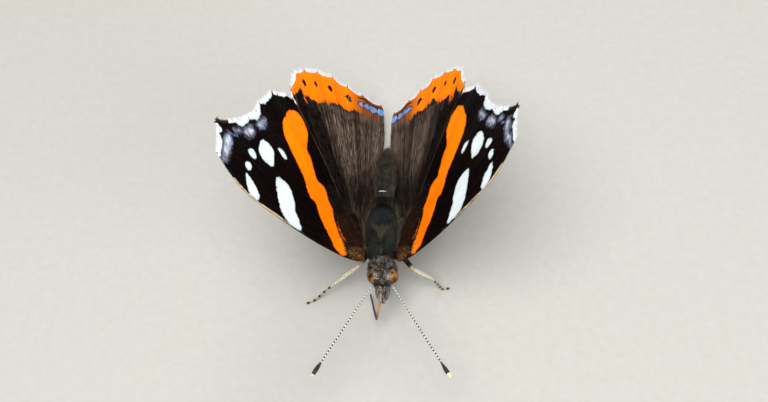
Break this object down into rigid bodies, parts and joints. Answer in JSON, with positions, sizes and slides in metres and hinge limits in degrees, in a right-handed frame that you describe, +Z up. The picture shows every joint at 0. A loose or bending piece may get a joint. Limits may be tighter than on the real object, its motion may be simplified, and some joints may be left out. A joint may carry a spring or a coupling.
{
  "type": "red admiral butterfly",
  "caption": "Life-size still model of a red admiral butterfly standing with its wings raised in a wide V, feelers forward and tongue half unrolled.",
  "frame": {"origin": "on the floor under the middle of the bounding box", "axes": "+Z up, the head faces -Y, +X is the insect's own left, -X its right"},
  "size_m": [0.0338, 0.0442, 0.0372],
  "materials": {
    "thorax_fur": "short dark greenish black fur with a faint blue gloss",
    "abdomen_scales": "dark brown scales and short hair in rings",
    "head_hair": "grizzled grey, black and whitish hair",
    "eye": "glossy amber brown compound eye with darker patches",
    "proboscis": "satin horn, tan above and purple brown below",
    "antenna": "fine black and white rings, dark club with a cream tip",
    "forewing": "velvety black scales with an orange band and white spots",
    "hindwing": "dark brown scales and hair with an orange margin",
    "leg_dark": "dark brown scales and hair",
    "leg_pale": "cream scales with dark rings on the foot"
  },
  "bodies": {
    "root": {"thorax": "thorax_fur", "abdomen": "abdomen_scales", "head": "head_hair", "eye_left": "eye", "eye_right": "eye", "palp_left": "head_hair", "palp_right": "head_hair", "proboscis_upper": "proboscis", "proboscis_lower": "proboscis", "antenna_left": "antenna", "antenna_right": "antenna", "forewing_left": "forewing", "forewing_right": "forewing", "hindwing_left": "hindwing", "hindwing_right": "hindwing", "foreleg_left": "leg_dark", "foreleg_right": "leg_dark", "leg_middle_left_femur": "leg_dark", "leg_middle_right_femur": "leg_dark", "leg_hind_left_femur": "leg_dark", "leg_hind_right_femur": "leg_dark", "leg_middle_left_tibia": "leg_pale", "leg_middle_right_tibia": "leg_pale", "leg_hind_left_tibia": "leg_pale", "leg_hind_right_tibia": "leg_pale", "leg_middle_left_tarsus": "leg_pale", "leg_middle_right_tarsus": "leg_pale", "leg_hind_left_tarsus": "leg_pale", "leg_hind_right_tarsus": "leg_pale"}
  },
  "joints": []
}
